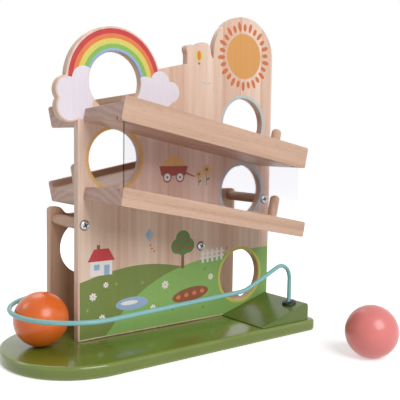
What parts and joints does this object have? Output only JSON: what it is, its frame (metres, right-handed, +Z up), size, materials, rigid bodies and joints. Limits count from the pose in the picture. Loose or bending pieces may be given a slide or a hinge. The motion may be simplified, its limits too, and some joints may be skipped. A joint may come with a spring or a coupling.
{
  "type": "ball track toy",
  "caption": "Wooden ball run: a tall printed board with round holes, sloping ramps on both faces, a clear window, a bent rod rail and loose balls on a painted base.",
  "frame": {"origin": "middle of the base's underside", "axes": "+X along the boards towards the exit wedge, +Y to the back, +Z up; the printed face looks to -Y"},
  "size_m": [0.3286, 0.268, 0.3415],
  "materials": {
    "green_paint": "gloss paint on wood",
    "printed_pine": "clear matt lacquer over a colour print",
    "pine": "clear matt lacquer",
    "beech": "turned, clear lacquer",
    "clear_sheet": "clear acrylic, polished",
    "teal_coating": "satin powder coat on steel rod",
    "black_plastic": "moulded",
    "zinc": "bright zinc plate",
    "orange_paint": "satin-gloss paint",
    "pink_paint": "satin-gloss paint"
  },
  "bodies": {
    "toy": {"base": "green_paint", "exit_wedge": "green_paint", "front_board": "printed_pine", "rear_board": "pine", "chute_block": "pine", "front_ramp_upper": "pine", "front_ramp_lower": "pine", "rear_ramp_upper": "pine", "rear_ramp_lower": "pine", "dowel_left": "beech", "dowel_middle": "beech", "dowel_right": "beech", "front_peg_upper": "beech", "front_peg_lower": "beech", "rear_peg_upper": "beech", "rear_peg_lower": "beech", "window": "clear_sheet", "rail": "teal_coating", "rail_grommet_wedge": "black_plastic", "rail_grommet_base": "black_plastic", "dowel_screw_front_left": "zinc", "dowel_screw_front_middle": "zinc", "dowel_screw_front_right": "zinc", "dowel_screw_rear_left": "zinc", "dowel_screw_rear_middle": "zinc", "dowel_screw_rear_right": "zinc", "base_screw_front_board_1": "zinc", "base_screw_front_board_2": "zinc", "base_screw_front_board_3": "zinc", "base_screw_rear_board_1": "zinc", "base_screw_rear_board_2": "zinc", "base_screw_rear_board_3": "zinc", "base_screw_wedge_1": "zinc", "base_screw_wedge_2": "zinc"},
    "orange_ball": {"ball_orange": "orange_paint"},
    "pink_ball": {"ball_pink": "pink_paint"}
  },
  "joints": [
    {"name": "orange_ball_lift", "type": "slide", "parent": "toy", "child": "orange_ball", "axis": [0, 0, 1], "range_m": [0, 0.14]},
    {"name": "pink_ball_roll", "type": "slide", "parent": "toy", "child": "pink_ball", "axis": [1, 0, 0], "range_m": [0, 0.1]}
  ]
}
